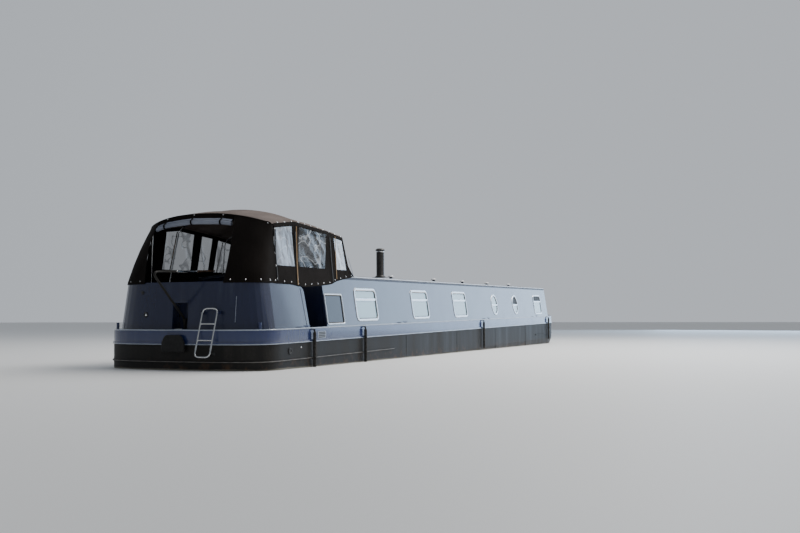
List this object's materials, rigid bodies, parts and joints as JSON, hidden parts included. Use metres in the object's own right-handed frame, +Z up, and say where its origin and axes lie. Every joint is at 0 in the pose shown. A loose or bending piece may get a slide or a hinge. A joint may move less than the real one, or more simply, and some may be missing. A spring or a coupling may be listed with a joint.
{
  "type": "wide-beam narrowboat",
  "caption": "Steel canal boat with a long windowed cabin, rounded stern bulwark, canvas stern hood on hoops, tiller, rudder, propeller, doors, sliding hatch and boarding ladder.",
  "frame": {"origin": "middle of the overall length and beam, on the underside of the baseplate", "axes": "+X to the bow, +Y to port, +Z up"},
  "size_m": [21.8572, 3.3206, 3.4202],
  "materials": {
    "black_hull": "satin bitumen black with faint rust and weld lines",
    "blue_band": "glossy blue paint",
    "navy_cabin": "glossy navy paint",
    "roof_paint": "matt blue-grey paint",
    "deck_paint": "grey non-slip paint",
    "window_frame": "satin anodised frame",
    "window_glass": "clear glass",
    "stainless": "polished stainless tube",
    "chimney_paint": "satin black",
    "engine_iron": "painted iron",
    "bronze": "dull bronze",
    "fender_rope": "dark woven rope",
    "hood_canvas": "dark brown acrylic canvas",
    "hood_vinyl": "clear flexible vinyl",
    "roof_canvas": "sun-faded taupe canvas",
    "pale_cloth": "pale blue-grey lining cloth",
    "rubber": "matt black rubber",
    "wood_varnish": "varnished hardwood",
    "white_fitting": "white paint"
  },
  "bodies": {
    "boat": {"hull": "black_hull", "stern_strake": "black_hull", "bow_strake": "black_hull", "skeg": "black_hull", "gunwale_band": "blue_band", "guard_rail": "blue_band", "stern_bulwark": "navy_cabin", "cabin_side_starboard": "navy_cabin", "cabin_side_port": "navy_cabin", "rear_bulkhead": "navy_cabin", "front_bulkhead": "navy_cabin", "cabin_roof": "roof_paint", "stern_deck": "deck_paint", "foredeck": "deck_paint", "window_1_starboard": "window_frame", "window_1_port": "window_frame", "window_2_starboard": "window_frame", "window_2_port": "window_frame", "window_3_starboard": "window_frame", "window_3_port": "window_frame", "window_4_starboard": "window_frame", "window_4_port": "window_frame", "window_5_starboard": "window_frame", "window_5_port": "window_frame", "porthole_1_starboard": "window_frame", "porthole_1_port": "window_frame", "porthole_2_starboard": "window_frame", "porthole_2_port": "window_frame", "chimney": "chimney_paint", "engine": "engine_iron", "hoop_main": "stainless", "hoop_fore": "stainless", "hoop_aft": "stainless", "stern_fender": "fender_rope", "bow_fender": "fender_rope", "fender_starboard_1": "fender_rope", "fender_starboard_2": "fender_rope", "fender_starboard_3": "fender_rope", "fender_starboard_4": "fender_rope", "fender_port_1": "fender_rope", "fender_port_2": "fender_rope", "fender_port_3": "fender_rope", "fender_port_4": "fender_rope", "hood": "hood_canvas"},
    "helm": {"rudder": "black_hull", "tiller": "black_hull"},
    "propeller": {"propeller": "bronze"},
    "rear_door_starboard": {"rear_door_starboard": "navy_cabin"},
    "rear_door_port": {"rear_door_port": "navy_cabin"},
    "front_door_starboard": {"front_door_starboard": "navy_cabin"},
    "front_door_port": {"front_door_port": "navy_cabin"},
    "sliding_hatch": {"sliding_hatch": "roof_paint"},
    "boarding_ladder": {"boarding_ladder": "stainless"}
  },
  "joints": [
    {"name": "steering", "type": "hinge", "parent": "boat", "child": "helm", "pos_m": [-10.108, 0, 0.9], "axis": [0, 0, 1], "range_deg": [-38, 38]},
    {"name": "propeller_turn", "type": "hinge", "parent": "boat", "child": "propeller", "pos_m": [-9.593, 0, 0.33], "axis": [1, 0, 0], "continuous": true},
    {"name": "rear_door_starboard_hinge", "type": "hinge", "parent": "boat", "child": "rear_door_starboard", "pos_m": [-7.84, -0.357, 1.6], "axis": [0, 0, 1], "range_deg": [0, 100]},
    {"name": "rear_door_port_hinge", "type": "hinge", "parent": "boat", "child": "rear_door_port", "pos_m": [-7.84, 0.357, 1.6], "axis": [0, 0, -1], "range_deg": [0, 100]},
    {"name": "front_door_starboard_hinge", "type": "hinge", "parent": "boat", "child": "front_door_starboard", "pos_m": [8.714, -0.332, 1.5], "axis": [0, 0, -1], "range_deg": [0, 100]},
    {"name": "front_door_port_hinge", "type": "hinge", "parent": "boat", "child": "front_door_port", "pos_m": [8.714, 0.332, 1.5], "axis": [0, 0, 1], "range_deg": [0, 100]},
    {"name": "hatch_slide", "type": "slide", "parent": "boat", "child": "sliding_hatch", "axis": [1, 0, 0], "range_m": [0, 0.56]},
    {"name": "ladder_swing", "type": "hinge", "parent": "boat", "child": "boarding_ladder", "pos_m": [-10.31, -0.62, 1.597], "axis": [0, 1, 0], "range_deg": [0, 150]}
  ]
}
